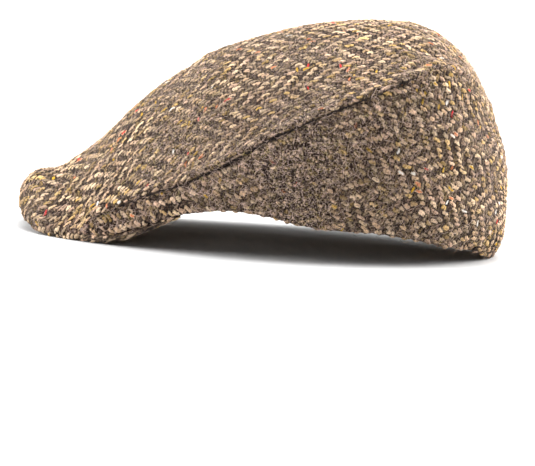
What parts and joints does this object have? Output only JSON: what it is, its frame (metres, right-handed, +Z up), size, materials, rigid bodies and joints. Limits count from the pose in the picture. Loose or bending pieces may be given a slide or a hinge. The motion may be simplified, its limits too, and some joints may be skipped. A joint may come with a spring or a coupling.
{
  "type": "touring cap",
  "caption": "Flat cap of herringbone tweed: a sloping one-piece top panel over a short stiff curved peak, with shaped side panels and an open head hollow.",
  "frame": {"origin": "middle of the cap's box in plan, on the plane that it rests on", "axes": "+X from the peak towards the back, +Y towards the wearer's right, +Z up"},
  "size_m": [0.2746, 0.187, 0.129],
  "materials": {
    "tweed": "coarse marled herringbone tweed, napped, with coloured flecks",
    "tweed_peak": "coarse marled herringbone tweed stretched over a stiff peak"
  },
  "bodies": {
    "root": {"crown_top": "tweed", "side_panel_left": "tweed", "side_panel_right": "tweed", "peak": "tweed_peak"}
  },
  "joints": []
}
